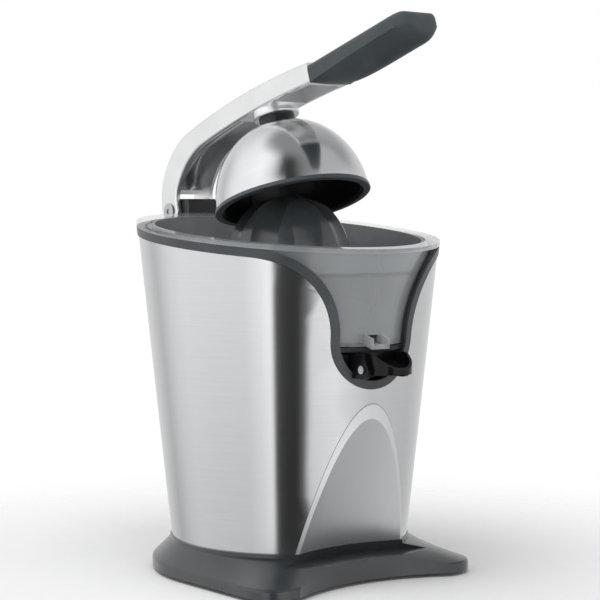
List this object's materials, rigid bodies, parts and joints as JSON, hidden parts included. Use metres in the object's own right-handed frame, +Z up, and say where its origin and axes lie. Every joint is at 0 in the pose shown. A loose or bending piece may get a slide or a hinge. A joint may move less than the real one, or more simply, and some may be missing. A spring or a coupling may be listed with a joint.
{
  "type": "electric citrus juicer",
  "caption": "Lever-operated electric citrus juicer: tapered brushed steel body, fluted cone in a strainer bowl, hinged pressing dome, tilting drip-stop spout and pronged base.",
  "frame": {"origin": "on the standing surface, under the axis of the body and the juicing cone", "axes": "+Z up along the body axis; -Y towards the spout, the glass and the lever's grip; X across the body"},
  "size_m": [0.2016, 0.2738, 0.3556],
  "materials": {
    "brushed_steel": "circumferentially brushed stainless sheet",
    "satin_panel": "satin stainless sheet",
    "polished_dome": "spun stainless sheet, fine brushed",
    "lever_aluminium": "satin die-cast aluminium",
    "charcoal_plastic": "semi-gloss moulded plastic",
    "black_plastic": "matte moulded plastic",
    "inner_plastic": "plain moulded plastic",
    "clear_plastic": "clear moulded plastic",
    "strainer_plastic": "satin moulded plastic",
    "cone_plastic": "semi-gloss moulded plastic",
    "spout_plastic": "smoked glossy plastic",
    "grip_rubber": "soft-touch rubbery coating",
    "foot_rubber": "moulded rubber",
    "gear_nylon": "natural nylon",
    "plain_steel": "zinc-plated steel",
    "winding": "laminations and varnished copper winding",
    "bronze_bush": "sintered bronze"
  },
  "bodies": {
    "body": {"base_housing": "charcoal_plastic", "bottom_plate": "black_plastic", "bottom_screws": "plain_steel", "body_screws": "plain_steel", "rubber_feet": "foot_rubber", "cord_inlet": "foot_rubber", "steel_jacket": "brushed_steel", "top_trim": "charcoal_plastic", "recess_panel": "satin_panel", "body_core": "inner_plastic", "juice_container": "clear_plastic", "strainer": "strainer_plastic", "spout_holder": "black_plastic", "spout_pin": "plain_steel", "idler_axle": "plain_steel", "motor_stator": "winding", "motor_can": "plain_steel", "motor_screws": "plain_steel", "gearbox_housing": "inner_plastic", "gearbox_cover": "inner_plastic", "gearbox_screws": "plain_steel", "return_spring": "plain_steel", "upper_bush": "bronze_bush", "shaft_seal": "foot_rubber", "start_switch": "black_plastic", "switch_screws": "plain_steel", "hinge_bracket": "black_plastic", "bracket_screws": "plain_steel", "hinge_pin": "plain_steel", "friction_washers": "gear_nylon"},
    "lever": {"lever_arm": "lever_aluminium", "handle_grip": "grip_rubber", "press_dome": "polished_dome", "dome_rim": "charcoal_plastic", "dome_liner": "black_plastic", "dome_neck": "black_plastic", "dome_collar": "lever_aluminium", "dome_screw": "plain_steel"},
    "spout": {"drip_spout": "spout_plastic"},
    "press_cap": {"spring_cap": "gear_nylon"},
    "cone_drive": {"juicing_cone": "cone_plastic", "drive_shaft": "plain_steel"},
    "output_gear": {"output_gear": "gear_nylon"},
    "idler_gear": {"idler_gear": "gear_nylon"},
    "motor_rotor": {"motor_rotor": "plain_steel", "motor_pinion": "plain_steel"},
    "plunger": {"switch_plunger": "gear_nylon"}
  },
  "joints": [
    {"name": "lever_hinge", "type": "hinge", "parent": "body", "child": "lever", "pos_m": [0, 0.124, 0.236], "axis": [-1, 0, 0], "range_deg": [-18.2, 62]},
    {"name": "spout_tilt", "type": "hinge", "parent": "body", "child": "spout", "pos_m": [0, -0.1, 0.139], "axis": [-1, 0, 0], "range_deg": [0, 22]},
    {"name": "cone_press", "type": "slide", "parent": "body", "child": "press_cap", "axis": [0, 0, -1], "range_m": [0, 0.0025], "stiffness_N_per_m": 2000, "springref_m": -0.004, "deforming": ["return_spring"]},
    {"name": "cone_spin", "type": "hinge", "parent": "press_cap", "child": "cone_drive", "pos_m": [0, 0, 0.2], "axis": [0, 0, 1], "continuous": true},
    {"name": "output_spin", "type": "hinge", "parent": "body", "child": "output_gear", "pos_m": [0, 0, 0.114], "axis": [0, 0, 1], "continuous": true},
    {"name": "idler_spin", "type": "hinge", "parent": "body", "child": "idler_gear", "pos_m": [0.03031, 0.0175, 0.105], "axis": [0, 0, 1], "continuous": true},
    {"name": "motor_spin", "type": "hinge", "parent": "body", "child": "motor_rotor", "pos_m": [0.0221, 0.04005, 0.065], "axis": [0, 0, 1], "continuous": true},
    {"name": "plunger_press", "type": "slide", "parent": "body", "child": "plunger", "axis": [0, 0, -1], "range_m": [0, 0.0025]}
  ],
  "couplings": [
    {"joint": "output_spin", "follows": "cone_spin", "ratio": 1},
    {"joint": "idler_spin", "follows": "cone_spin", "ratio": -3.1176},
    {"joint": "motor_spin", "follows": "cone_spin", "ratio": 8.6194},
    {"joint": "plunger_press", "follows": "cone_press", "ratio": 1}
  ]
}
